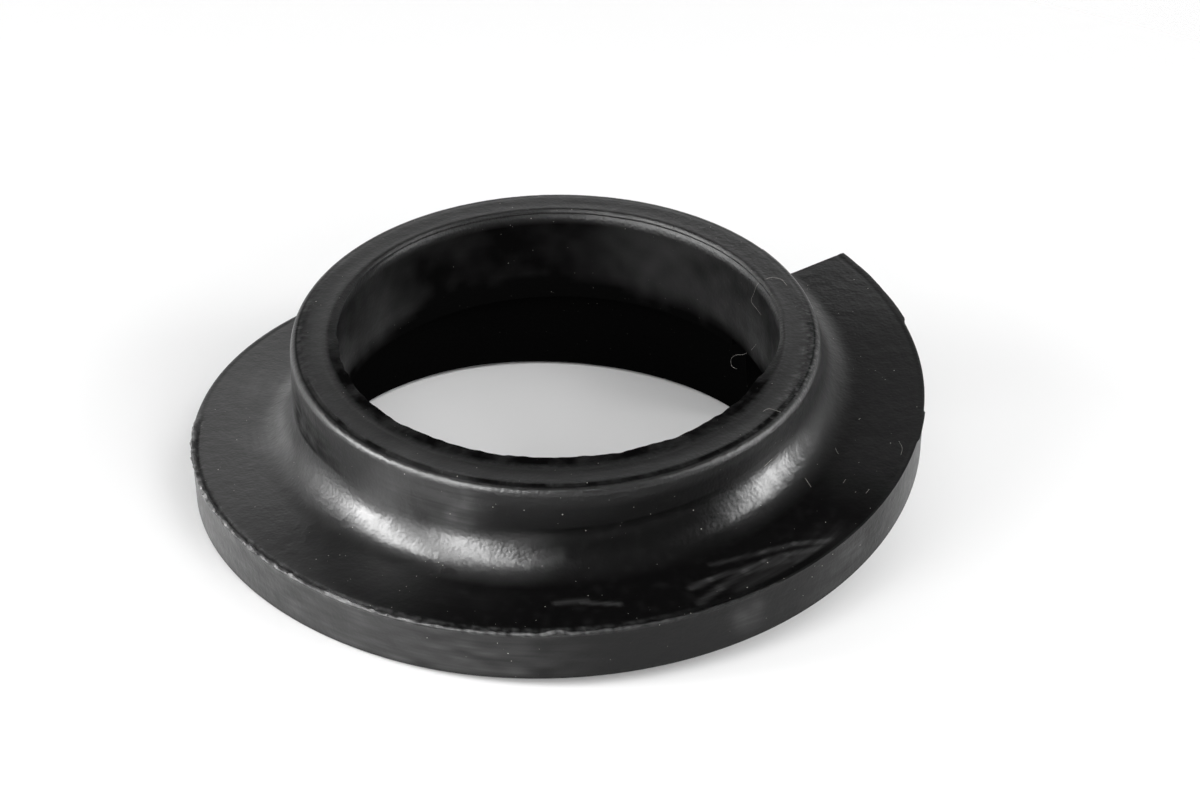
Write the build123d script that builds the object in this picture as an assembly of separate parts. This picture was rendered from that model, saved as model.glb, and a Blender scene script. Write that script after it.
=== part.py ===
"""Coil spring insulator: one moulded rubber ring with a helical seat for the end coil of a spring.

Millimetres. +Z is up along the axis of the collar. The origin is on that axis, level with the
lowest face of the underside. Angles run from +X towards +Y, seen from above.

A collar stands in a flange that climbs one turn round it, so the flange starts low, ends high and
leaves a step where the spring wire ends. The neck, cove, seat and underside are cut from a disc
by solids lofted through radial sections. The bore and the recess are turned about the axis.
"""
import math
import os

from build123d import *

# Spring that the part is made for
coil_wire = 13.0           # thickness of the wire that lies on the seat

# Collar: the ring that the end coil slips over
rim_radius = 45.0          # outside radius of the collar at its flat rim
rim_round = 1.1            # rounding of the outer edge of the rim
collar_wall = 6.8          # rubber between the bore and the outside of the rim
neck_draft = 1.5           # degrees that the neck widens downwards, to leave the mould
bevel_width = 0.9          # bevel round the mouth of the bore, measured across the rim
bevel_depth = 1.5          # the same bevel, measured down the bore
bore_depth = 18.5          # from the rim down to the ledge
ledge_width = 3.0          # step outwards from the bore to the recess under it
recess_draft = 5.0         # degrees that the recess widens downwards

# Flange: the helical seat under the end coil
seat_margin = 5.3          # how far the seat reaches past the wire, to the tip of its moulding flash
flange_thickness = 9.0     # from the seat down to the underside, the same all round
under_edge_bevel = 0.6     # bevel of the outer edge of the underside
seat_climb = 20.1          # from the low start of the seat up to its high end, one turn later
step_angle = 35.0          # where that turn starts and ends, in degrees
cove_clearance = 0.2       # how much larger the radius of the cove is than that of the wire
neck_above_cove = 1.3      # neck left between the cove and the rim at the high end

# Share of the climb reached at each eighth of the turn, from the low start to the high end
CLIMB = (0.0, 0.015, 0.155, 0.375, 0.585, 0.66, 0.743, 0.888, 1.0)

cove_radius = coil_wire / 2 + cove_clearance
flange_radius = rim_radius + coil_wire + seat_margin
bore_radius = rim_radius - collar_wall
recess_radius = bore_radius + ledge_width
rim_height = flange_thickness + seat_climb + cove_radius + neck_above_cove
ledge_height = rim_height - bore_depth
neck_spread = math.tan(math.radians(neck_draft))
recess_spread = math.tan(math.radians(recess_draft))

REACH = 15.0               # the cutting solids reach this far past the part
CORE = 8.0                 # and start this far out from the axis
SECTION_STEP = 10.0        # degrees between the sections that a cutting solid is lofted through


def seat_height(turn):
    """Height of the seat, `turn` degrees after its low start: a smooth curve through CLIMB."""
    eighth = min(int(turn / 45), 7)
    share = turn / 45 - eighth

    def slope(i):
        before, after = max(i - 1, 0), min(i + 1, 8)
        return (CLIMB[after] - CLIMB[before]) / (after - before)

    reached = (CLIMB[eighth] * (2 * share**3 - 3 * share**2 + 1)
               + slope(eighth) * (share**3 - 2 * share**2 + share)
               + CLIMB[eighth + 1] * (3 * share**2 - 2 * share**3)
               + slope(eighth + 1) * (share**3 - share**2))
    return flange_thickness + seat_climb * reached


def station(turn):
    """Upright radial plane, `turn` degrees after the step."""
    angle = step_angle + turn
    return Plane(origin=(0, 0, 0), x_dir=Vector(1, 0, 0).rotate(Axis.Z, angle),
                 z_dir=Vector(0, -1, 0).rotate(Axis.Z, angle))


def section_above(turn):
    """What is free above the flange: outside the neck, over the cove and over the seat."""
    seat = seat_height(turn)
    top, outside = rim_height + REACH, flange_radius + REACH
    draft = math.radians(neck_draft)
    centre_height = seat + cove_radius
    neck = rim_radius + (rim_height - centre_height) * neck_spread
    centre = neck + cove_radius / math.cos(draft)

    def on_cove(angle):
        return centre + cove_radius * math.cos(angle), centre_height + cove_radius * math.sin(angle)

    leaves_neck, meets_seat = math.pi + draft, 1.5 * math.pi
    start, middle, end = (on_cove(leaves_neck), on_cove((leaves_neck + meets_seat) / 2),
                          on_cove(meets_seat))
    neck_top = (rim_radius - REACH * neck_spread, top)
    outline = Wire([Line(neck_top, start), ThreePointArc(start, middle, end),
                    Line(end, (outside, seat)), Line((outside, seat), (outside, top)),
                    Line((outside, top), neck_top)])
    return station(turn) * make_face(outline)


def section_below(turn):
    """What is free under the flange, with the bevel of its outer edge."""
    underside = seat_height(turn) - flange_thickness
    outside = flange_radius + REACH
    corners = ((CORE, -REACH), (outside, -REACH), (outside, underside + under_edge_bevel + REACH),
               (flange_radius - under_edge_bevel, underside), (CORE, underside))
    return station(turn) * make_face(Polyline(*corners, close=True))


def half_turn(section, first):
    """Cutting solid through the sections of the half turn that begins `first` degrees round."""
    count = round(180 / SECTION_STEP)
    return loft([section(first + 180 * i / count) for i in range(count + 1)])


def hollow():
    """Bore with its bevelled mouth, the ledge, and the recess that opens at the underside."""
    foot = recess_radius + (ledge_height + REACH) * recess_spread
    mouth = bore_radius + bevel_width
    outline = Polyline((0, -REACH), (foot, -REACH), (recess_radius, ledge_height),
                       (bore_radius, ledge_height), (bore_radius, rim_height - bevel_depth),
                       (mouth, rim_height), (mouth, rim_height + REACH),
                       (0, rim_height + REACH), close=True)
    return revolve(Plane.XZ * make_face(outline), Axis.Z)


def radii(edge):
    """Distances from the axis at five points along an edge."""
    return [math.hypot(point.X, point.Y) for point in (edge @ (i / 4) for i in range(5))]


def rim_edges(solid):
    return [edge for edge in solid.edges()
            if (edge @ 0.5).Z > rim_height - 0.01 and min(radii(edge)) > rim_radius - 0.01]


def spring_insulator():
    turned = Rot(0, 0, step_angle)
    solid = turned * Pos(0, 0, rim_height / 2) * Cylinder(flange_radius, rim_height)
    for section in (section_above, section_below):
        for first in (0, 180):
            solid -= half_turn(section, first)
    solid -= turned * hollow()
    return fillet(rim_edges(solid), rim_round)


if __name__ == "__main__":
    os.makedirs("parts", exist_ok=True)
    export_step(spring_insulator(), "parts/spring_insulator.step")
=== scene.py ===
"""Coil spring insulator: the moulded rubber ring and its studio, as an add-on that builds both.

Metres, +Z up along the axis of the collar. Angles run from +X towards +Y, seen from above. A turn
is counted from the step, so the seat is lowest at turn 0 and highest one full turn later.
"""
import math

import bmesh
import bpy
from bpy.props import (FloatProperty, FloatVectorProperty, IntProperty, PointerProperty,
                       StringProperty)
from mathutils import Matrix, Vector, noise


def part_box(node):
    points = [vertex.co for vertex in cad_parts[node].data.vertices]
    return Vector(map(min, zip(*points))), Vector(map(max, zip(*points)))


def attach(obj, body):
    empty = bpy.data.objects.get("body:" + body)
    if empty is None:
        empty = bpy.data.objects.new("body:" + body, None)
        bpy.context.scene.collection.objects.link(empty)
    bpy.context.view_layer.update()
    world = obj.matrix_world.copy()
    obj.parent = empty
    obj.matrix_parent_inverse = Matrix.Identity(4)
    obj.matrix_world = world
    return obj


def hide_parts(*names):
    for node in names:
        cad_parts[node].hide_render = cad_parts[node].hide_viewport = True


bl_info = {
    "name": "Coil spring insulator",
    "version": (1, 0, 0),
    "blender": (4, 5, 0),
    "location": "View3D > Sidebar > Insulator",
    "description": "Builds a moulded rubber insulator for the end coil of a spring, and its studio",
    "category": "Object",
}

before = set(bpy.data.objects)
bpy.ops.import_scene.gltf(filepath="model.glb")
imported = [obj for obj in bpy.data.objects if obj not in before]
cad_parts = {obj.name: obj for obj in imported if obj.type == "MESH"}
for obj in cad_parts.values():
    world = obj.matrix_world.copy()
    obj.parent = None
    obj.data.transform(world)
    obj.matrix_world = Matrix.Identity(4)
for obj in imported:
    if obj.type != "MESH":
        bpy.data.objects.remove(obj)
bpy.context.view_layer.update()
NODE_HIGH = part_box("spring_insulator")[1]

MM = 0.001
DEGREE = math.pi / 180
LIP_WIDTH = 1.4 * MM        # strip along the outer edge of the seat where the flash stands
LIP_DEPTH = 0.5 * MM        # how far down the band the same strip reaches
LEAST_NECK = 0.15 * MM      # neck left between the cove and the rim's rounding at the high end
SHARP_ANGLE = 38 * DEGREE   # faces that meet at a larger angle have a sharp edge between them
MIX_A, MIX_B, MIX_OUT = 6, 7, 2    # sockets of a Mix node that blends two colours

# Share of the climb reached at each eighth of the turn, from the low start to the high end
CLIMB = (0.0, 0.015, 0.155, 0.375, 0.585, 0.66, 0.743, 0.888, 1.0)

# Stretches of the turn, in degrees: where each starts, is full, starts to fade and ends
PAST_STEP = (0, 3, 357, 360)
FRONT = (140, 190, 285, 325)             # the side that faces the camera
RIM_LINE = (112, 145, 322, 345)          # roughened outer edge of the rim
TRIMMED_MOUTH = (90, 180, 290, 335)      # mouth of the bore, cut wide
MATT_MOUTH = (110, 170, 295, 335)
DARK_BORE = (28, 58, 88, 115)
LEFT_FLASH = (138, 152, 200, 226)        # high and torn
FRONT_FLASH = (200, 218, 262, 275)       # low
FLASH_TAB = (308, 309, 315.5, 316)       # stands out from the band
TORN_FLASH = (136, 150, 262, 275)
GREY_FLASH = (136, 146, 235, 262)
MATT_FLASH = (138, 150, 225, 250)
# The band's left is greyed partly by bloom and partly by painted reflection of the bright table
# beside it
BAND_BLOOM_AND_SHEEN = (120, 150, 222, 245)
PALE_BAND = (262, 282, 330, 345)
MATT_BAND = (205, 235, 285, 305)
MATT_SEAT = (193, 222, 285, 305)
DULL_SEAT = (285, 305, 335, 350)
WORN_COVE = (226, 240, 264, 280)

# Share of the loose dust that reaches each sheltered zone
SHELTERED = {"bore": 0.3, "mouth": 0.5, "low_bore": 0, "ledge": 0.2, "recess": 0.1, "under": 0}

# Where handling has greyed the skin, partly with painted reflection on the upper neck, and where it
# is scratched dull: middle in mm, reach in mm, strength
BLOOM_AND_SHEEN_PATCHES = (
    ((-48, -4, 19), 11, 0.2), ((-49, 15, 16), 9, 0.16), ((-46, -10, 21), 8, 0.16),
    # The patches at (-24, -39, 33), (-16, -43, 32) and (-30, -44, 31) on the upper neck are partly
    # bloom and partly painted reflection of the cove's highlights
    ((-56, 10, 17), 8, 0.08), ((-24, -39, 33), 9, 0.3), ((-16, -43, 32), 8, 0.48),
    ((-12, -52, 18), 10, 0.03), ((31, -55, 20), 5, 0.18), ((46, -42, 21), 8, 0.08),
    ((-57, -25, 14), 9, 0.06), ((-30, -44, 31), 7, 0.12),
)
SCRATCHED_PATCHES = (((-39, -23, 27), 10, 0.8), ((-43, -15, 29), 9, 0.7), ((-35, -29, 25), 7, 0.5))

# Scuffs on the seat, seen from above: ends in mm, width in mm, strength
SCUFFS = (
    (((0.5, -55.3), (5.4, -54.9)), 0.8, 0.1), (((4.6, -55.4), (10.5, -56)), 0.6, 0.12),
    (((21.7, -52.6), (24.7, -50.8)), 0.9, 0.1), (((24.7, -50.8), (33.6, -46.7)), 0.7, 0.1),
    (((23, -56.3), (26.2, -52.8)), 1.0, 0.07), (((26.2, -52.8), (30.5, -49.2)), 1.0, 0.08),
    (((30.5, -49.2), (36.9, -46.6)), 1.0, 0.1), (((31, -53.5), (39.5, -46.5)), 3.5, 0.05),
    (((39.5, -46.5), (46.3, -42)), 2.5, 0.06), (((-2.1, -47), (1.1, -46.7)), 1.2, 0.06),
    (((25, -47.2), (33.4, -44.5)), 0.7, 0.07), (((33.4, -44.5), (38.6, -42.8)), 0.8, 0.1),
    (((38.6, -42.8), (46.2, -42.1)), 0.8, 0.12), (((33.6, -46.7), (37, -45.3)), 0.8, 0.1),
    (((37, -45.3), (45, -43.5)), 0.8, 0.1),
)

# Loose fibres on the skin: paths in mm
LINT = (
    ((40.1, 13.3, 37.1), (39.2, 15.3, 37.1), (37.6, 15.9, 37.1), (36.2, 15.3, 37.1),
     (35, 15.5, 35.7), (34.6, 16.2, 33.6), (34.2, 17, 31.4), (35, 15.3, 31), (35.8, 13.4, 30.8)),
    ((35.2, 14.8, 23.7), (34.5, 16.5, 21.3), (33.6, 23.4, 15.6), (32.4, 26.1, 13.6),
     (31.6, 27.3, 11.9), (31.8, 27.3, 10.3), (32.7, 26.2, 10.4)),
    ((34, -24.2, 37.1), (34.9, -23.4, 37.1), (36.1, -23.9, 37.1), (36.9, -24.4, 37)),
    ((41.1, -27.3, 25.8), (42, -29.1, 25.3)),
    ((57.3, -18, 26.4), (57.7, -19.8, 26.3), (57.3, -21.6, 26.2)),
    ((46.6, -19.6, 26.2), (47, -21, 26)),
    ((47.3, -28.3, 25.5), (47.8, -27.3, 25.5)),
    ((50.8, -31, 25.4), (51.4, -30, 25.5)),
    ((35.5, -28.1, 30.3), (34.1, -29.8, 30)),
)
LINT_LIFT = Vector((0, -0.1, 0.07)) * MM

# Soft boxes that light the table: degrees right of straight back, degrees up, distance, width,
# height, radiance
LAMPS = (
    ("left_box", -104, 24, 1.0, 0.30, 0.45, 9),
    ("front_left_box", -141, 26, 1.0, 0.30, 0.45, 8),
    ("right_box", 100, 24, 1.0, 0.35, 0.45, 7),
    ("front_right_box", 145, 24, 1.0, 0.35, 0.45, 7),
)

# Large soft light behind the camera: see WINDOWS
CEILING_BOX = (158, 62, 37, 71, 12, 2.7)

# What the gloss of the rubber mirrors: degrees right of straight back, half width, lowest and
# highest elevation, softness of the outline, all in degrees, and radiance
WINDOWS = (
    (-101, 8.5, -8, 58, 5, 38),
    (-142, 5.5, 0, 60, 4, 40),
    (94, 6.5, -8, 46, 6, 30),
    (-10, 40, -90, 33, 9, 1.05),
    (50, 22, -90, 28, 9, 0.5),
    (-75, 30, -90, 30, 12, 0.8),
    (-120, 40, -10, 50, 15, 0.8),
)
DARK_ROOM = 0.04    # radiance that gloss sees between the windows
DIM_ROOM = 0.28     # radiance of the room that lights matt surfaces, apart from its ceiling


# Sizes and colours that a user would change

def length(name, description, default):
    return FloatProperty(name=name, description=description, default=default, unit="LENGTH",
                         subtype="DISTANCE", precision=5)


def angle(name, description, degrees):
    return FloatProperty(name=name, description=description, default=degrees * DEGREE,
                         unit="ROTATION", subtype="ANGLE")


def share(name, description, default):
    return FloatProperty(name=name, description=description, default=default, min=0, max=1,
                         subtype="FACTOR")


def colour(name, description, default):
    return StringProperty(name=name, description=description + ", as sRGB hex", default=default)


class RingSizes(bpy.types.PropertyGroup):
    rim_radius: length("Rim radius", "Outside radius of the collar at its rim", 45 * MM)
    rim_round: length("Rim rounding", "Rounding of the outer edge of the rim", 1.1 * MM)
    collar_wall: length("Collar wall", "Rubber between the bore and the rim's outside", 6.8 * MM)
    neck_draft: angle("Neck draft", "How much the neck widens downwards", 1.5)
    bevel_width: length("Mouth bevel width", "Bevel of the mouth, across the rim", 0.9 * MM)
    bevel_depth: length("Mouth bevel depth", "Bevel of the mouth, down the bore", 1.5 * MM)
    bore_depth: length("Bore depth", "From the rim down to the ledge", 18.5 * MM)
    ledge_width: length("Ledge width", "Step from the bore out to the recess", 3 * MM)
    recess_draft: angle("Recess draft", "How much the recess widens downwards", 5)
    cove_radius: length("Cove radius", "Hollow between the neck and the seat", 6.7 * MM)
    band_radius: length("Band radius", "Outside radius of the flange, without its flash",
                        NODE_HIGH.x - 0.3 * MM)
    flange_thickness: length("Flange thickness", "From the seat to the underside", 9 * MM)
    under_edge_bevel: length("Under edge bevel", "Bevel of the underside's outer edge", 0.2 * MM)
    seat_climb: length("Seat climb", "From the low start to the high end", 20.1 * MM)
    step_angle: angle("Step angle", "Where the turn starts and ends", 35)
    spin_steps: IntProperty(name="Spin steps", description="Steps that the section is spun in",
                            default=99, min=24)
    step_cuts: IntProperty(name="Step cuts", description="Sections added between two steps",
                           default=7, min=0)


class TrimFlaws(bpy.types.PropertyGroup):
    lip_height: length("Lip height", "How high the trimmed flash stands over the seat", 0.6 * MM)
    lip_reach: length("Lip reach", "How far the flash stands out from the band", 0.5 * MM)
    rag_spacing: length("Rag spacing", "Length of the tears along the flash", 1.8 * MM)
    mouth_lip: length("Mouth lip", "Width of the trimmed strip round the mouth", 2.6 * MM)
    mouth_drop: length("Mouth drop", "How far the trimmed strip falls inwards", 0.3 * MM)
    nick_depth: length("Nick depth", "Waves that trimming left on the mouth of the bore", 0.6 * MM)
    sag: length("Sag", "How unevenly the rubber shrank", 0.08 * MM)
    round_drop: length("Rounding drop", "How far down the neck the rim's rounding runs", 1.9 * MM)
    rim_dish: length("Rim dish", "How far the rim lies below its inner edge", 0.18 * MM)
    lint_radius: length("Lint radius", "Half the thickness of a loose fibre", 0.025 * MM)
    edge_fall: length("Edge fall", "How far the rim falls before its rounding", 0.3 * MM)


class RubberFinish(bpy.types.PropertyGroup):
    black: colour("Rubber", "Carbon black rubber in the shade", "#070707")
    # This grey is also the colour of the painted reflection on the band's left and the upper neck
    worn: colour("Greyed rubber", "Rubber where bloom and rubbing have greyed it", "#808080")
    dust_colour: colour("Dust", "Specks of pale dust", "#a6a49e")
    lint_colour: colour("Lint", "Loose fibres", "#8c8a86")
    roughness: share("Roughness", "How satin the moulded skin is", 0.31)
    haze: share("Haze", "How much of the gloss is scattered wide", 0.12)
    haze_roughness: share("Haze roughness", "How wide the haze scatters", 0.6)
    grain: length("Grain", "Spacing of the skin's grain", 0.55 * MM)
    grain_height: length("Grain height", "Height of the skin's grain", 0.022 * MM)
    streak_length: length("Streak length", "Length of the streaks along the turn", 16 * MM)
    streak_width: length("Streak width", "Width of the streaks", 0.8 * MM)
    dust_spacing: length("Dust spacing", "Spacing of the specks of dust", 1.4 * MM)


class StudioLook(bpy.types.PropertyGroup):
    camera_place: FloatVectorProperty(name="Camera", description="Where the camera stands",
                                      default=(0.00752, -0.38064, 0.29304), unit="LENGTH",
                                      subtype="TRANSLATION")
    camera_down: angle("Camera down", "How far the camera looks down", 35.435)
    camera_roll: angle("Camera roll", "How far the camera leans", -0.18)
    camera_lens: FloatProperty(name="Lens", description="Focal length in mm on 36 mm", default=81)
    floor_radius: length("Floor radius", "How far the floor reaches", 0.34)
    floor_height: length("Floor height", "Height of the floor on the axis", 4.763 * MM)
    floor_slope: FloatVectorProperty(name="Floor slope", size=2, default=(-0.0577, -0.1116),
                                     description="Rise along +X and +Y: the ring leans as it rests")
    floor_colour: colour("Floor", "White table", "#f6f6f6")


# Small helpers for materials

def linear(code):
    """Linear RGBA of an sRGB hex colour."""
    parts = [int(code[i:i + 2], 16) / 255 for i in (1, 3, 5)]
    return (*[p / 12.92 if p <= 0.04045 else ((p + 0.055) / 1.055) ** 2.4 for p in parts], 1.0)


def node(tree, kind, inputs=(), **settings):
    """Adds a node: its settings, and a constant or a linked output for each of its sockets, which
    come in order or by name."""
    made = tree.nodes.new("ShaderNode" + kind)
    for key, value in settings.items():
        setattr(made, key, value)
    for socket, value in inputs.items() if isinstance(inputs, dict) else enumerate(inputs):
        if isinstance(value, bpy.types.NodeSocket):
            tree.links.new(value, made.inputs[socket])
        else:
            made.inputs[socket].default_value = value
    return made


def blank_material(name):
    material = bpy.data.materials.new(name)
    material.use_nodes = True
    material.node_tree.nodes.clear()
    return material, material.node_tree


def new_object(name, bm, material):
    """Mesh object at the origin from a bmesh, which is freed."""
    mesh = bpy.data.meshes.new(name)
    bm.to_mesh(mesh)
    bm.free()
    mesh.materials.append(material)
    made = bpy.data.objects.new(name, mesh)
    bpy.context.collection.objects.link(made)
    return made


# Shape of the ring

def smooth(low, high, value):
    """0 below low, 1 above high, and a smooth step between."""
    x = min(max((value - low) / (high - low), 0.0), 1.0)
    return x * x * (3 - 2 * x)


def hump(centre, half_width, value):
    """1 at the centre, falling smoothly to 0 half_width away."""
    return 1 - smooth(0, half_width, abs(value - centre))


def stretch(turn, ends):
    """1 along a stretch of the turn, fading to 0 at its ends."""
    start, full, fades, end = ends
    return smooth(start, full, turn) * (1 - smooth(fades, end, turn))


def lumps(at, size, shift=(0, 0, 0), basis="PERLIN_ORIGINAL"):
    """Noise at a point, from -1 to 1, with lumps about `size` mm across."""
    return noise.noise(at / (size * MM) + Vector(shift), noise_basis=basis)


def on_line(points, along):
    """Radius and height at a place, from 0 to 1, on a line through points counted evenly."""
    step = along * (len(points) - 1)
    i = min(int(step), len(points) - 2)
    (r0, z0), (r1, z1) = points[i], points[i + 1]
    return r0 + (r1 - r0) * (step - i), z0 + (z1 - z0) * (step - i)


def seat_height(sizes, turn):
    """Height of the seat at a turn in degrees: a smooth curve through CLIMB."""
    eighth = min(int(turn / 45), 7)
    x = turn / 45 - eighth

    def slope(i):
        before, after = max(i - 1, 0), min(i + 1, 8)
        return (CLIMB[after] - CLIMB[before]) / (after - before)

    reached = (CLIMB[eighth] * (2 * x**3 - 3 * x**2 + 1) + slope(eighth) * (x**3 - 2 * x**2 + x)
               + CLIMB[eighth + 1] * (3 * x**2 - 2 * x**3) + slope(eighth + 1) * (x**3 - x**2))
    return sizes.flange_thickness + sizes.seat_climb * reached


class Section:
    """Radial section of the ring. Each zone is a stretch of its outline."""

    # Zones in order round the outline, with the places of their rows, or how many there are
    ROWS = {"rim": (0, 0.08, 0.16, 0.25, 0.45, 0.65, 0.78, 0.83, 0.88, 0.94), "rounding": 9,
            "neck": 12, "cove": 18, "seat": 18, "lip": 7, "band": 9, "under_bevel": 2, "under": 6,
            "recess": 5, "ledge": 2, "low_bore": 1, "bore": 12, "mouth": 8}

    def __init__(self, sizes, flaws):
        self.s, self.f = sizes, flaws
        self.rim_height = NODE_HIGH.z
        self.bore_radius = sizes.rim_radius - sizes.collar_wall
        self.recess_radius = self.bore_radius + sizes.ledge_width
        self.ledge_height = self.rim_height - sizes.bore_depth
        self.round_foot = self.rim_height - flaws.round_drop
        self.high_under = sizes.seat_climb
        self.mouth_foot = self.rim_height - sizes.bevel_depth
        self.spread = math.tan(sizes.neck_draft)
        self.known = {}

    def neck_radius(self, height):
        return self.s.rim_radius + (self.rim_height - height) * self.spread

    def recess_at(self, height):
        below = max(self.ledge_height - height, 0)
        return self.recess_radius + below * math.tan(self.s.recess_draft)

    def cove(self, turn):
        """Height of the seat, centre of the cove's arc, and the height where it leaves the neck."""
        if turn not in self.known:
            seat = seat_height(self.s, turn)
            draft = self.s.neck_draft
            middle = seat + self.s.cove_radius
            radius = self.neck_radius(middle) + self.s.cove_radius / math.cos(draft)
            self.known[turn] = seat, radius, middle, middle - self.s.cove_radius * math.sin(draft)
        return self.known[turn]

    def rows(self):
        """Zone and place within the zone of each row of points, once round the outline."""
        outer = self.s.band_radius - self.s.under_edge_bevel
        # The step's two faces meet at these rows of the neck and the underside
        level = self.high_under
        extra = {"neck": (self.round_foot - level) / (self.round_foot - self.cove(0)[3]),
                 "under": (outer - self.neck_radius(level)) / (outer - self.recess_radius)}
        for zone, places in self.ROWS.items():
            if isinstance(places, int):
                places = [i / places for i in range(places)]
            if zone in extra:
                places = sorted([*places, extra[zone]])
            for place in places:
                yield zone, place

    def point(self, zone, along, turn):
        """Radius and height of the point, without the flaws."""
        s = self.s
        seat, cove_centre, cove_middle, leaves = self.cove(turn)
        under = seat - s.flange_thickness
        ledge = max(self.ledge_height, under)
        foot = max(self.round_foot, leaves + LEAST_NECK)
        outer = s.band_radius - s.under_edge_bevel
        if zone == "rim":
            start = self.bore_radius + s.bevel_width
            return start + (s.rim_radius - s.rim_round - start) * along, self.rim_height
        if zone == "rounding":
            bend = math.pi / 2 * (1 - along)
            centre = self.neck_radius(foot) - s.rim_round
            return (centre + s.rim_round * math.cos(bend),
                    foot + (self.rim_height - foot) * math.sin(bend))
        if zone == "neck":
            height = foot + (leaves - foot) * along
            return self.neck_radius(height), height
        if zone == "cove":
            bend = math.pi + s.neck_draft + (math.pi / 2 - s.neck_draft) * along
            return (cove_centre + s.cove_radius * math.cos(bend),
                    cove_middle + s.cove_radius * math.sin(bend))
        if zone == "seat":
            return cove_centre + (s.band_radius - LIP_WIDTH - cove_centre) * along, seat
        if zone == "lip":
            return self.lip_point(along, turn, seat)
        if zone == "band":
            top = seat - LIP_DEPTH
            return s.band_radius, top + (under + s.under_edge_bevel - top) * along
        if zone == "under_bevel":
            return (s.band_radius - s.under_edge_bevel * along,
                    under + s.under_edge_bevel * (1 - along))
        if zone == "under":
            return outer + (self.recess_at(under) - outer) * along, under
        if zone == "recess":
            height = under + (ledge - under) * along
            return self.recess_at(height), height
        if zone == "ledge":
            return self.recess_radius - s.ledge_width * along, ledge
        if zone == "low_bore":
            return self.bore_radius, ledge
        if zone == "bore":
            height = self.high_under + (self.mouth_foot - self.high_under) * along
            return self.bore_radius, height
        return self.mouth_point(along, turn)

    def mouth_point(self, along, turn):
        """Mouth of the bore: its trimmed edge slopes gently from the rim and overhangs the bore."""
        top = self.bore_radius + self.s.bevel_width
        cut = stretch(turn, TRIMMED_MOUTH)
        width = self.f.mouth_lip * (0.2 + 0.8 * cut)
        drop = self.f.mouth_drop * (1.7 - 0.9 * cut)
        under = max(self.s.bevel_depth, drop + 0.3 * MM)
        radius, height = on_line(((self.bore_radius, -under), (top - 0.9 * width, -1.7 * drop),
                                  (top - width, -drop), (top - 0.6 * width, -0.4 * drop),
                                  (top, 0)), along)
        return radius, self.rim_height + height

    def lip_point(self, along, turn, seat):
        """Outer top edge of the flange with the flash left by the parting of the mould."""
        ragged, proud = self.lip(turn)
        angle = self.s.step_angle + turn * DEGREE
        room = (NODE_HIGH.x / max(abs(math.cos(angle)), abs(math.sin(angle)))
                - self.s.band_radius - 0.01 * MM)
        up = self.f.lip_height * ragged
        out = min(self.f.lip_reach * proud, room)
        dip = 0.6 * min(up, 0.4 * MM)
        radius, height = on_line(((-LIP_WIDTH, 0), (-1.0 * MM, -dip), (-0.7 * MM, -0.4 * dip),
                                  (-0.45 * MM, 0.8 * up), (-0.1 * MM, up),
                                  (out, 0.5 * up - 0.05 * MM), (0.3 * out, -0.2 * MM),
                                  (0, -LIP_DEPTH)), along)
        return self.s.band_radius + radius, seat + height

    def lip(self, turn):
        """How high and how far out the flash stands at a turn, as shares of its full size."""
        around = turn * DEGREE * self.s.band_radius
        slow = noise.noise((around / (9 * MM), 3.1, 0))
        quick = noise.noise((around / self.f.rag_spacing, 7.7, 0))
        fine = noise.noise((around / (0.35 * self.f.rag_spacing), 1.3, 0))
        left = stretch(turn, LEFT_FLASH)
        clean = 0.4 + 0.6 * smooth(150, 165, turn)
        front = stretch(turn, FRONT_FLASH)
        near_end = smooth(338.5, 340, turn)
        nub = hump(235.5, 2.2, turn)
        ragged = (0.08 + left * (0.5 + 0.5 * slow + 1.2 * quick + 0.6 * fine)
                  + front * (0.32 + 0.25 * slow + 0.25 * quick) + 1.2 * nub)
        proud = (0.1 + left * (0.3 + 0.3 * slow + clean * (quick + 0.5 * fine))
                 + front * (0.12 + 0.25 * quick) + near_end * (0.9 + 0.2 * slow + 0.15 * quick)
                 + 0.5 * stretch(turn, FLASH_TAB) + 0.8 * nub)
        return min(max(ragged, 0), 1.6), min(max(proud, 0), 1.2)

    def flaw(self, zone, along, turn, at):
        """Small offset of a finished point: shrinkage, mould waves and trimming. Radius, height."""
        sag = self.f.sag
        low = lumps(at, 22, basis="PERLIN_NEW")
        mid = lumps(at, 6, (5, 0, 0), "PERLIN_NEW")
        tear = lumps(at, 0.6)
        bulge = math.sin(math.pi * along)
        inner = stretch(turn, PAST_STEP)
        front = 0.25 + 0.75 * stretch(turn, FRONT)
        edge = self.f.edge_fall * front * (1 + 0.35 * tear)
        sunk = self.f.rim_dish * front + sag * (0.3 - 0.4 * low)
        if zone == "rim":
            pits = 0.04 * MM * max(tear, 0) * (along < 0.2)
            return 0, -smooth(0, 0.28, along) * sunk - edge * smooth(0.8, 1, along) - pits
        if zone == "rounding":
            return 0, -(sunk + edge) * (1 - smooth(0, 0.8, along))
        if zone == "neck":
            return sag * (0.9 * low + 0.35 * mid) * bulge * inner, 0
        if zone == "cove":
            return sag * 0.5 * mid * bulge * inner, sag * low * along * inner
        if zone == "seat":
            return 0, sag * (1.1 * low + 0.5 * mid) * (1 - along ** 3) * inner
        if zone == "band":
            return -sag * (0.5 + 0.9 * low + 0.5 * mid) * bulge, 0
        if zone == "bore":
            return -sag * (0.8 * low + 0.3 * mid) * bulge, 0
        if zone == "mouth":
            return -self.nick(at) * bulge, -0.06 * MM * max(tear, 0) * bulge
        return 0, 0

    def nick(self, at):
        """How far the trimmed edge of the bore's mouth stands into the bore."""
        flat = Vector((at.x, at.y, 0))
        wave = 0.15 + 0.9 * lumps(flat, 7, (0, 9, 0)) + 0.45 * lumps(flat, 1.8, (4, 0, 0))
        return self.f.nick_depth * (0.2 + 0.8 * smooth(-10 * MM, 10 * MM, -at.y)) * wave


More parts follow.
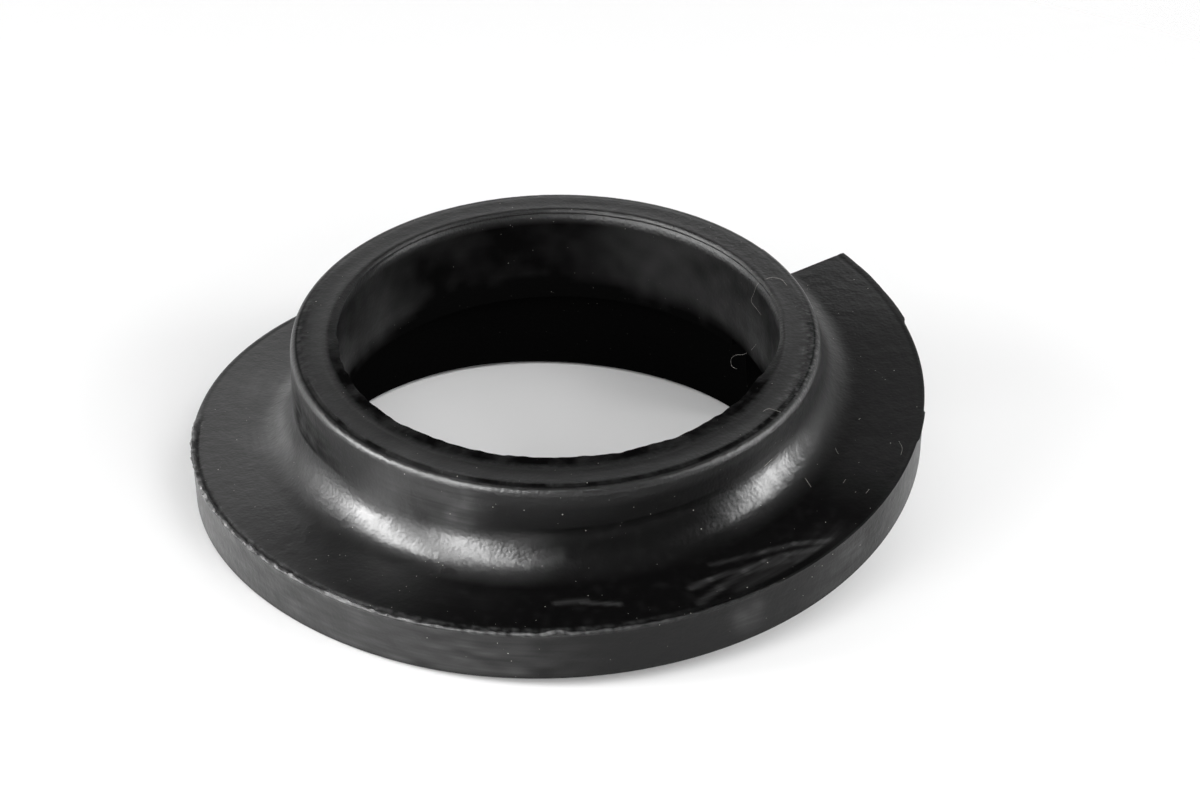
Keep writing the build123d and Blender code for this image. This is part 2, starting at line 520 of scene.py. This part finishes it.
def from_stroke(at, ends):
    """Distance in mm, seen from above, between a point and the straight line between two ends."""
    (x0, y0), (x1, y1) = ends
    x, y = at.x / MM - x0, at.y / MM - y0
    dx, dy = x1 - x0, y1 - y0
    along = min(max((x * dx + y * dy) / (dx * dx + dy * dy), 0), 1)
    return math.hypot(x - along * dx, y - along * dy)


def patches(at, table):
    """Sum of the soft patches of a table at a point: middle and reach in mm, strength."""
    return sum(strength * (1 - smooth(0.1 * reach, reach, (at - Vector(middle) * MM).length / MM))
               for middle, reach, strength in table)


def bloom_and_sheen(zone, along, turn, at):
    """How far bloom and rubbing have greyed the skin at a point, from 0 to 1; on the band's left
    and the upper neck part of this grey is painted reflection.
    """
    cloudy = 0.5 + 0.8 * lumps(at, 7) + 0.6 * lumps(at, 2.5)
    level = patches(at, BLOOM_AND_SHEEN_PATCHES) * min(max(cloudy, 0.35), 1)
    if zone == "band":
        streaky = 0.6 + 0.9 * noise.noise(Vector((turn / 4, at.z / (1.5 * MM), 0)))
        # Painted reflection of the bright table, over some real bloom, greys the band's left
        level += 0.21 * streaky * stretch(turn, BAND_BLOOM_AND_SHEEN)
        level += 0.08 * max(cloudy, 0) * stretch(turn, PALE_BAND)
    if zone == "lip":
        crest = 0.25 + 0.75 * hump(0.6, 0.35, along)
        frayed = 0.6 + 1.5 * lumps(at, 0.9)
        level += 0.55 * frayed * crest * stretch(turn, GREY_FLASH)
    if zone in ("rim", "rounding", "neck") and at.xy.length > 42 * MM:
        flecks = max(lumps(at, 0.6) - 0.1, 0) * hump(308, 45, turn)
        level += 0.7 * flecks * smooth(30.6 * MM, 36 * MM, at.z)
    if zone in ("seat", "cove"):
        level += 0.03 * max(lumps(at, 1.6) - 0.15, 0) * smooth(185, 215, turn)
        for ends, width, strength in SCUFFS:
            level += strength * (1 - smooth(0.3 * width, width, from_stroke(at, ends)))
    return min(max(level, 0), 1)


def torn(zone, along, turn, at):
    """How far the skin is cut or torn to a coarse grain at a point, from 0 to 1."""
    level = patches(at, SCRATCHED_PATCHES)
    if zone == "rim":
        level = (max(1 - along / 0.28, 0) * (0.4 + 0.6 * stretch(turn, FRONT))
                 + smooth(0.72, 0.85, along) * stretch(turn, RIM_LINE))
    elif zone == "rounding":
        level = 0.5 + 0.5 * hump(290, 50, turn)
    elif zone == "mouth":
        level = 1
    elif zone == "lip":
        level = stretch(turn, TORN_FLASH)
    return min(max(level, 0), 1)


def matt(zone, along, turn, at):
    """How matt the skin is at a point, from 0 to 1: in the hollow, where worn and where cut."""
    step_wall = turn == 0 and zone in ("neck", "cove") and at.z < 22 * MM
    if step_wall or zone in ("recess", "ledge", "low_bore", "under"):
        return 1.0
    grainy = 0.7 + 0.9 * lumps(at, 0.8)
    slow = lumps(at, 3)
    level = 0.0
    if zone == "bore":
        low = 1 - smooth(19.5 * MM, 24 * MM, at.z)
        level = (0.5 + 0.42 * stretch(turn, DARK_BORE) + 0.25 * lumps(at, 9) + 0.15 * slow
                 + 0.5 * low)
    elif zone == "mouth":
        level = max(stretch(turn, MATT_MOUTH) * (0.8 + 0.15 * grainy + 0.3 * slow), 0.35)
    elif zone == "rim":
        front = stretch(turn, FRONT)
        inner = 0.75 * (1 - smooth(0.03, 0.14, along)) * (0.7 + 0.3 * grainy)
        narrow = smooth(0.81, 0.88, along) * (0.7 + 0.3 * grainy + 0.4 * slow)
        broad = 0.6 * smooth(0.45, 0.85, along) * grainy
        level = inner * front + max(narrow * front, broad * (1 - front)) * stretch(turn, RIM_LINE)
    elif zone == "rounding":
        level = 0.8 * stretch(turn, RIM_LINE) * (1 - smooth(0, 0.2, along))
    elif zone == "neck":
        drawn = 0.75 + noise.noise(Vector((turn / 5, at.z / (1.1 * MM), 0)))
        scratched = patches(at, SCRATCHED_PATCHES) * min(max(drawn, 0.2), 1)
        level = scratched + 0.45 * hump(258, 45, turn) * smooth(0.15, 0.45, along)
    elif zone in ("cove", "seat") or zone == "lip" and along < 0.5:
        seat = 0.93 * stretch(turn, MATT_SEAT) + 0.3 * stretch(turn, DULL_SEAT)
        worn = 0.75 * stretch(turn, WORN_COVE)
        flash = 0.8 * hump(0.2, 0.2, along) * stretch(turn, MATT_FLASH)
        level = {"cove": worn + (seat - worn) * smooth(0.7, 1, along), "seat": seat,
                 "lip": max(seat, flash)}[zone]
    elif zone in ("lip", "band", "under_bevel"):
        level = 0.5 * stretch(turn, MATT_BAND) + 0.25 * smooth(285, 305, turn)
    return min(max(level, 0), 1)


def dusty(zone, along, turn, at):
    """How much of the loose dust lies at a point: little of it reaches the hollow."""
    return SHELTERED.get(zone, 1)


# The skin's attributes, in the order that the material reads them in
SKIN = {"bloom_and_sheen": bloom_and_sheen, "torn": torn, "matt": matt, "dusty": dusty}


def ring_mesh(sizes, flaws):
    """The ring: its section is spun once round and each point is then taken to its place."""
    section = Section(sizes, flaws)
    rows = list(section.rows())
    bm = bmesh.new()
    row_layer, turn_layer = (bm.verts.layers.float.new(name) for name in ("row", "turn"))
    layers = {name: bm.verts.layers.float.new(name) for name in SKIN}
    start = Matrix.Rotation(sizes.step_angle, 3, "Z")
    first = []
    for row, (zone, along) in enumerate(rows):
        radius, height = section.point(zone, along, 0)
        first.append(bm.verts.new(start @ Vector((radius, 0, height))))
        first[row][row_layer] = row
    outline = [bm.edges.new((first[i - 1], first[i])) for i in range(len(first))]
    spun = bmesh.ops.spin(bm, geom=first + outline, cent=(0, 0, 0), axis=(0, 0, 1), angle=math.tau,
                          steps=sizes.spin_steps, use_merge=False, use_duplicate=False)
    for point in bm.verts:
        turned = math.atan2(point.co.y, point.co.x) - sizes.step_angle
        point[turn_layer] = round(turned / math.tau * sizes.spin_steps) % sizes.spin_steps
    for point in spun["geom_last"]:
        if isinstance(point, bmesh.types.BMVert):
            point[turn_layer] = sizes.spin_steps
    round_edges = [e for e in bm.edges if e.verts[0][row_layer] == e.verts[1][row_layer]]
    bmesh.ops.subdivide_edges(bm, edges=round_edges, cuts=sizes.step_cuts, use_grid_fill=True)
    for point in bm.verts:
        station = round(point[turn_layer] * (sizes.step_cuts + 1))
        turn = 360 * station / sizes.spin_steps / (sizes.step_cuts + 1)
        zone, along = rows[round(point[row_layer])]
        radius, height = section.point(zone, along, turn)
        way = Matrix.Rotation(sizes.step_angle + turn * DEGREE, 3, "Z") @ Vector((1, 0, 0))
        at = way * radius + Vector((0, 0, height))
        out, up = section.flaw(zone, along, turn, at)
        point.co = at + way * out + Vector((0, 0, up))
        for name, level in SKIN.items():
            point[layers[name]] = level(zone, along, turn, at)
    bmesh.ops.remove_doubles(bm, verts=bm.verts, dist=0.003 * MM)
    close_step(bm, section)
    bmesh.ops.dissolve_degenerate(bm, edges=bm.edges, dist=0.001 * MM)
    bmesh.ops.recalc_face_normals(bm, faces=bm.faces)
    for face in bm.faces:
        face.smooth = True
    for edge in bm.edges:
        edge.smooth = len(edge.link_faces) == 2 and edge.calc_face_angle(0) < SHARP_ANGLE
    return bm


def close_step(bm, section):
    """Closes the two upright faces of the step: the high end's and the low start's."""
    open_edges = [e for e in bm.edges if len(e.link_faces) == 1]
    split = section.high_under
    reach = section.neck_radius(split)
    near = 0.01 * MM

    def on_low_face(edge):
        heights = [v.co.z for v in edge.verts]
        radii = [v.co.xy.length for v in edge.verts]
        level = max(abs(h - split) for h in heights) < near
        return max(heights) < split + near and (not level or max(radii) < reach + near)

    low = [e for e in open_edges if on_low_face(e)]
    high = [e for e in open_edges if not on_low_face(e)]
    for edges in (low, high):
        if not edges:
            raise RuntimeError("the step has no open edges to close")
        made = bmesh.ops.edgeloop_fill(bm, edges=edges)
        if not made["faces"]:
            raise RuntimeError("a face of the step wasn't closed")


# Finishes

def moulded_rubber(look):
    """Carbon black rubber from a steel mould: near black, satin, with a fine grain that breaks up
    its highlights, dull where it is cut or hollow, a grey bloom in patches, grey painted as
    reflection on the band's left and the upper neck, and pale dust."""
    material, tree = blank_material("moulded_black_rubber")
    place = node(tree, "TexCoord").outputs["Object"]
    bloom_and_sheen_share, tear, dull_share, dust_share = (
        node(tree, "Attribute", attribute_name=name).outputs["Fac"] for name in SKIN)
    clouds = ((2 * MM, 1), (9 * MM, 1), (2.5 * look.grain, 2), (look.grain, 1), (4 * look.grain, 2))
    dust_edge, dust_spread, mottle, grain, dimples = (
        node(tree, "TexNoise", {"Vector": place, "Scale": 1 / size, "Detail": detail}).outputs[0]
        for size, detail in clouds)

    # Streaks run along the turn, because radius and height vary them far faster than x and y do
    split = node(tree, "SeparateXYZ", [place]).outputs
    flat = node(tree, "CombineXYZ", (split["X"], split["Y"])).outputs[0]
    radius = node(tree, "VectorMath", [flat], operation="LENGTH").outputs["Value"]
    across = node(tree, "Math", (radius, split["Z"]), operation="ADD").outputs[0]
    unrolled = node(tree, "CombineXYZ", (split["X"], split["Y"], across)).outputs[0]
    counts = (1 / look.streak_length, 1 / look.streak_length, 1 / look.streak_width)
    drawn = node(tree, "VectorMath", (unrolled, counts), operation="MULTIPLY").outputs[0]
    streak = node(tree, "TexNoise", {"Vector": drawn, "Scale": 1, "Detail": 2}).outputs["Fac"]

    # Dust: the middles of Voronoi cells, uneven in size and thick in some places only
    cells = node(tree, "TexVoronoi", {"Vector": place, "Scale": 1 / look.dust_spacing})
    away = node(tree, "Math", (dust_edge, 0.16, cells.outputs["Distance"]),
                operation="MULTIPLY_ADD").outputs[0]
    inside = node(tree, "MapRange", (away, 0.11, 0.135, 1, 0)).outputs[0]
    strewn = node(tree, "MapRange", (dust_spread, 0.38, 0.56)).outputs[0]
    speck = node(tree, "Math", (inside, strewn), operation="MULTIPLY").outputs[0]
    speck = node(tree, "Math", (speck, dust_share), operation="MULTIPLY").outputs[0]

    # Colour: black, greyed in streaks by bloom and by painted reflection, with the dust on top
    streaky = node(tree, "MapRange", (streak, 0.3, 0.7, 0.35, 1)).outputs[0]
    patchy = node(tree, "Math", (bloom_and_sheen_share, streaky), operation="MULTIPLY").outputs[0]
    # The grey mixed in here is partly real bloom and partly painted reflection
    skin = node(tree, "Mix", {0: patchy, MIX_A: linear(look.black), MIX_B: linear(look.worn)},
                data_type="RGBA").outputs[MIX_OUT]
    tint = node(tree, "Mix", {0: speck, MIX_A: skin, MIX_B: linear(look.dust_colour)},
                data_type="RGBA").outputs[MIX_OUT]

    # Relief: the grain is coarser where the skin is torn, over wide dimples and fine ripples
    coarse = node(tree, "MapRange", (tear, 0, 1, 1, 4)).outputs[0]
    pits = node(tree, "Math", (grain, coarse), operation="MULTIPLY").outputs[0]
    relief = node(tree, "Math", (dimples, 4, pits), operation="MULTIPLY_ADD").outputs[0]
    grained = node(tree, "Bump", {"Height": relief, "Strength": 1, "Distance": look.grain_height})
    rippled = node(tree, "Bump", {"Height": streak, "Strength": 1,
                                  "Distance": 0.6 * look.grain_height,
                                  "Normal": grained.outputs["Normal"]})
    base = {"Base Color": tint, "Normal": rippled.outputs["Normal"], "IOR": 1.5}

    # Gloss: satin skin with a wide haze, and none where it is matt
    satin = node(tree, "MapRange", (mottle, 0.3, 0.7, look.roughness - 0.02,
                                    look.roughness + 0.05)).outputs[0]
    rough = node(tree, "Math", (tear, 0.2, satin), operation="MULTIPLY_ADD").outputs[0]
    sharp = node(tree, "BsdfPrincipled", {**base, "Roughness": rough})
    haze = node(tree, "BsdfPrincipled", {**base, "Roughness": look.haze_roughness})
    glossy = node(tree, "MixShader", (look.haze, sharp.outputs[0], haze.outputs[0]))
    dull = node(tree, "BsdfPrincipled", {**base, "Roughness": 0.9, "Specular IOR Level": 0})
    mixed = node(tree, "MixShader", (dull_share, glossy.outputs[0], dull.outputs[0]))
    node(tree, "OutputMaterial", {"Surface": mixed.outputs[0]})
    return material


def lint_mesh(radius):
    """Loose fibres: each is a bent thread, drawn through the points of its path."""
    bm = bmesh.new()
    for path in LINT:
        points = [Vector(place) * MM + LINT_LIFT for place in path]
        bends = []
        for i in range(len(points) - 1):
            a, d = points[max(i - 1, 0)], points[min(i + 2, len(points) - 1)]
            b, c = points[i], points[i + 1]
            for x in (0, 0.25, 0.5, 0.75):
                bends.append(0.5 * (2 * b + (c - a) * x + (2 * a - 5 * b + 4 * c - d) * x**2
                                    + (3 * b - a - 3 * c + d) * x**3))
        bends.append(points[-1])
        rings = []
        for i, bend in enumerate(bends):
            bend.z = min(bend.z, NODE_HIGH.z - 1.1 * radius)
            way = bends[min(i + 1, len(bends) - 1)] - bends[max(i - 1, 0)]
            placed = Matrix.Translation(bend) @ way.to_track_quat("Z", "Y").to_matrix().to_4x4()
            made = bmesh.ops.create_circle(bm, segments=6, radius=radius, matrix=placed,
                                           cap_ends=i in (0, len(bends) - 1))
            rings.append({edge for point in made["verts"] for edge in point.link_edges})
        for first, second in zip(rings, rings[1:]):
            bmesh.ops.bridge_loops(bm, edges=list(first | second))
    bmesh.ops.recalc_face_normals(bm, faces=bm.faces)
    for face in bm.faces:
        face.smooth = True
    return bm


def lint_fibre(look):
    """Undyed thread, matt and pale grey, so that it shows against the rubber."""
    material, tree = blank_material("pale_lint")
    thread = node(tree, "BsdfPrincipled", {"Base Color": linear(look.lint_colour),
                                           "Roughness": 0.8})
    node(tree, "OutputMaterial", {"Surface": thread.outputs[0]})
    return material


# Operators

class INSULATOR_OT_lint(bpy.types.Operator):
    """Builds the loose fibres that lie on the ring"""
    bl_idname = "insulator.lint"
    bl_label = "Lint"

    def execute(self, context):
        lint = new_object("lint", lint_mesh(context.scene.trim_flaws.lint_radius),
                          lint_fibre(context.scene.rubber_finish))
        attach(lint, "root")
        return {"FINISHED"}


class INSULATOR_OT_ring(bpy.types.Operator):
    """Builds the moulded rubber ring in place of the plain solid"""
    bl_idname = "insulator.ring"
    bl_label = "Rubber ring"

    def execute(self, context):
        scene = context.scene
        ring = new_object("rubber_ring", ring_mesh(scene.ring_sizes, scene.trim_flaws),
                          moulded_rubber(scene.rubber_finish))
        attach(ring, "root")
        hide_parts("spring_insulator")
        return {"FINISHED"}


def white_floor(look):
    """Matt white table, which fades out before its edge so that the white room joins it. It isn't
    seen from below."""
    material, tree = blank_material("matt_white_table")
    place = node(tree, "TexCoord").outputs["Object"]
    away = node(tree, "VectorMath", [place], operation="LENGTH").outputs["Value"]
    faded = node(tree, "MapRange", (away, 0.55 * look.floor_radius, 0.97 * look.floor_radius),
                 interpolation_type="SMOOTHSTEP").outputs[0]
    below = node(tree, "NewGeometry").outputs["Backfacing"]
    unseen = node(tree, "Math", (faded, below), operation="MAXIMUM").outputs[0]
    white = node(tree, "BsdfDiffuse", {"Color": linear(look.floor_colour)})
    clear = node(tree, "BsdfTransparent")
    mixed = node(tree, "MixShader", (unseen, white.outputs[0], clear.outputs[0]))
    node(tree, "OutputMaterial", {"Surface": mixed.outputs[0]})
    return material


def aim(turned, raised):
    """Unit vector towards a place in the studio: degrees right of straight back, and degrees up."""
    return Vector((math.sin(turned * DEGREE) * math.cos(raised * DEGREE),
                   math.cos(turned * DEGREE) * math.cos(raised * DEGREE),
                   math.sin(raised * DEGREE)))


def soft_box(name, turned, raised, distance, width, height, radiance):
    """Upright soft box that faces the ring, as bright as the radiance that its front shows."""
    lamp = bpy.data.lights.new(name, "AREA")
    lamp.shape, lamp.size, lamp.size_y = "RECTANGLE", width, height
    lamp.energy = radiance * math.pi * width * height
    made = bpy.data.objects.new(name, lamp)
    centre = Vector((0, 0, 20 * MM))
    made.location = centre + aim(turned, raised) * distance
    made.rotation_euler = (made.location - centre).to_track_quat("Z", "Y").to_euler()
    made.visible_camera = made.visible_glossy = False
    bpy.context.collection.objects.link(made)


def studio_world():
    """White room to the camera. Gloss sees it dark with bright windows, and matt surfaces are lit
    by a dim room with a soft box in its ceiling."""
    world = bpy.data.worlds.new("white_room")
    bpy.context.scene.world = world
    world.use_nodes = True
    world.cycles.sampling_method = "NONE"
    tree = world.node_tree
    tree.nodes.clear()
    way = node(tree, "SeparateXYZ", [node(tree, "TexCoord").outputs["Generated"]]).outputs
    around = node(tree, "Math", (way["X"], way["Y"]), operation="ARCTAN2").outputs[0]

    def window(turned, half_width, low, high, soft, level):
        """Bright upright window: it fades over `soft` degrees on each side of its outline."""
        off = node(tree, "Math", (around, turned * DEGREE), operation="SUBTRACT").outputs[0]
        off = node(tree, "Math", (off, math.pi, -math.pi), operation="WRAP").outputs[0]
        off = node(tree, "Math", [off], operation="ABSOLUTE").outputs[0]
        lowest, low_full, high_full, highest = (
            math.sin(max(raised, -90) * DEGREE)
            for raised in (low - soft, low + soft, high - soft, high + soft))
        fades = ((off, (half_width + soft) * DEGREE, (half_width - soft) * DEGREE, 0, level),
                 (way["Z"], lowest, low_full), (way["Z"], highest, high_full))
        beside, above, under = (
            node(tree, "MapRange", fade, interpolation_type="SMOOTHSTEP").outputs[0]
            for fade in fades)
        upright = node(tree, "Math", (above, under), operation="MULTIPLY").outputs[0]
        return node(tree, "Math", (beside, upright), operation="MULTIPLY").outputs[0]

    gloss = DARK_ROOM
    for pane in WINDOWS:
        gloss = node(tree, "Math", (window(*pane), gloss), operation="ADD").outputs[0]
    soft = node(tree, "Math", (window(*CEILING_BOX), DIM_ROOM), operation="ADD").outputs[0]
    path = node(tree, "LightPath").outputs
    room = node(tree, "Mix", {0: path["Is Glossy Ray"], "A": soft, "B": gloss}).outputs[0]
    level = node(tree, "Mix", {0: path["Is Camera Ray"], "A": room, "B": 1}).outputs[0]
    light = node(tree, "Background", {"Color": (1, 1, 1, 1), "Strength": level})
    node(tree, "OutputWorld", {"Surface": light.outputs[0]})


class INSULATOR_OT_studio(bpy.types.Operator):
    """Builds the white table, the lamps, the room and the camera"""
    bl_idname = "insulator.studio"
    bl_label = "Studio"

    def execute(self, context):
        look = context.scene.studio_look
        bm = bmesh.new()
        bmesh.ops.create_circle(bm, cap_ends=True, segments=96, radius=look.floor_radius)
        for point in bm.verts:
            point.co.z = (look.floor_height + look.floor_slope[0] * point.co.x
                          + look.floor_slope[1] * point.co.y)
        new_object("table", bm, white_floor(look))
        for lamp in LAMPS:
            soft_box(*lamp)
        studio_world()
        camera = bpy.data.objects.new("camera", bpy.data.cameras.new("camera"))
        camera.data.lens = look.camera_lens
        camera.data.sensor_width = 36
        camera.data.clip_start, camera.data.clip_end = 0.01, 20
        camera.matrix_world = (Matrix.Translation(look.camera_place)
                               @ Matrix.Rotation(math.pi / 2 - look.camera_down, 4, "X")
                               @ Matrix.Rotation(look.camera_roll, 4, "Z"))
        context.collection.objects.link(camera)
        context.scene.camera = camera
        context.scene.view_settings.view_transform = "Standard"
        return {"FINISHED"}


class INSULATOR_PT_panel(bpy.types.Panel):
    """Sidebar panel that builds each piece"""
    bl_idname = "INSULATOR_PT_panel"
    bl_label = "Coil spring insulator"
    bl_space_type = "VIEW_3D"
    bl_region_type = "UI"
    bl_category = "Insulator"

    def draw(self, context):
        for operator in (INSULATOR_OT_ring, INSULATOR_OT_lint, INSULATOR_OT_studio):
            self.layout.operator(operator.bl_idname)


CLASSES = (RingSizes, TrimFlaws, RubberFinish, StudioLook, INSULATOR_OT_ring, INSULATOR_OT_lint,
           INSULATOR_OT_studio, INSULATOR_PT_panel)
GROUPS = {"ring_sizes": RingSizes, "trim_flaws": TrimFlaws, "rubber_finish": RubberFinish,
          "studio_look": StudioLook}


def register():
    for made in CLASSES:
        bpy.utils.register_class(made)
    for name, group in GROUPS.items():
        setattr(bpy.types.Scene, name, PointerProperty(type=group))


def unregister():
    for name in GROUPS:
        delattr(bpy.types.Scene, name)
    for made in reversed(CLASSES):
        bpy.utils.unregister_class(made)


def main():
    register()
    bpy.ops.insulator.studio()
    bpy.ops.insulator.ring()
    bpy.ops.insulator.lint()


if __name__ == "__main__":
    main()
